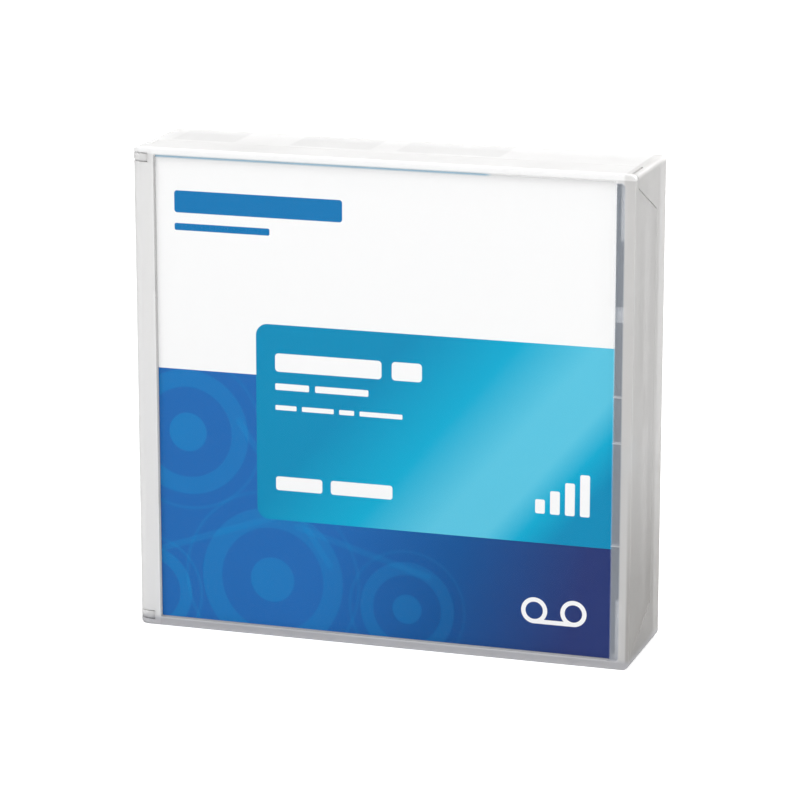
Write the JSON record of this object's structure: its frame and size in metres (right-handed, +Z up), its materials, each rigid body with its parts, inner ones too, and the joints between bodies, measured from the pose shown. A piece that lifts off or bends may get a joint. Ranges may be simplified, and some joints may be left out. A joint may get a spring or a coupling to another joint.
{
  "type": "data tape cartridge in storage case",
  "caption": "Square half-inch data tape cartridge lying in its closed translucent hinged storage case, with an insert card behind the clear front.",
  "frame": {"origin": "centre of the case's lower edge face, at the middle of its width and depth", "axes": "+X from the hinge edge to the opening edge, +Y from the clear front to the back, +Z up"},
  "size_m": [0.116, 0.0274, 0.1107],
  "materials": {
    "case_plastic": "translucent milky polypropylene, fine frosted",
    "lid_plastic": "clear window with frosted border",
    "printed_card": "coated card printed in white, cyan and blue fields",
    "shell_plastic": "charcoal polycarbonate, fine spark texture",
    "door_plastic": "acetal, satin",
    "tab_plastic": "acetal, satin red",
    "brake_plastic": "natural acetal, satin",
    "reel_plastic": "glass-filled polycarbonate, light grey",
    "clip_plastic": "natural acetal",
    "tape_film": "wound polyester tape, dark brown",
    "zinc_steel": "zinc plated",
    "spring_steel": "drawn wire",
    "pin_steel": "ground stainless",
    "chip_board": "solder-masked board"
  },
  "bodies": {
    "case": {"case_tray": "case_plastic", "cartridge_top_shell": "shell_plastic", "cartridge_bottom_shell": "shell_plastic", "cartridge_screws": "zinc_steel", "door_spring": "spring_steel", "memory_chip": "chip_board", "leader_pin": "pin_steel", "leader_clip": "clip_plastic", "pin_springs": "spring_steel", "tape_free_end": "tape_film", "brake_spring": "spring_steel"},
    "lid": {"case_lid": "lid_plastic", "insert_card": "printed_card"},
    "door": {"access_door": "door_plastic"},
    "write_tab": {"write_protect_tab": "tab_plastic"},
    "reel": {"reel_hub": "reel_plastic", "reel_top_flange": "reel_plastic", "clutch_plate": "pin_steel", "tape_pack": "tape_film"},
    "brake": {"brake_button": "brake_plastic"},
    "release": {"release_pad": "brake_plastic"}
  },
  "joints": [
    {"name": "lid_hinge", "type": "hinge", "parent": "case", "child": "lid", "pos_m": [-0.0552, -0.01095, 0.05535], "axis": [0, 0, -1], "range_deg": [0, 180]},
    {"name": "door_slide", "type": "slide", "parent": "case", "child": "door", "axis": [1, 0, 0], "range_m": [0, 0.018], "stiffness_N_per_m": 15, "springref_m": -0.01, "deforming": ["door_spring"]},
    {"name": "write_tab_slide", "type": "slide", "parent": "case", "child": "write_tab", "axis": [0, 0, 1], "range_m": [0, 0.0044]},
    {"name": "reel_spin", "type": "hinge", "parent": "case", "child": "reel", "pos_m": [0.003, 0, 0.05535], "axis": [0, 1, 0], "continuous": true},
    {"name": "brake_lift", "type": "slide", "parent": "case", "child": "brake", "axis": [0, -1, 0], "range_m": [0, 0.002], "stiffness_N_per_m": 300, "springref_m": -0.01, "deforming": ["brake_spring"]},
    {"name": "release_lift", "type": "slide", "parent": "reel", "child": "release", "axis": [0, -1, 0], "range_m": [0, 0.002]}
  ],
  "couplings": [
    {"joint": "release_lift", "follows": "brake_lift", "ratio": 1}
  ]
}
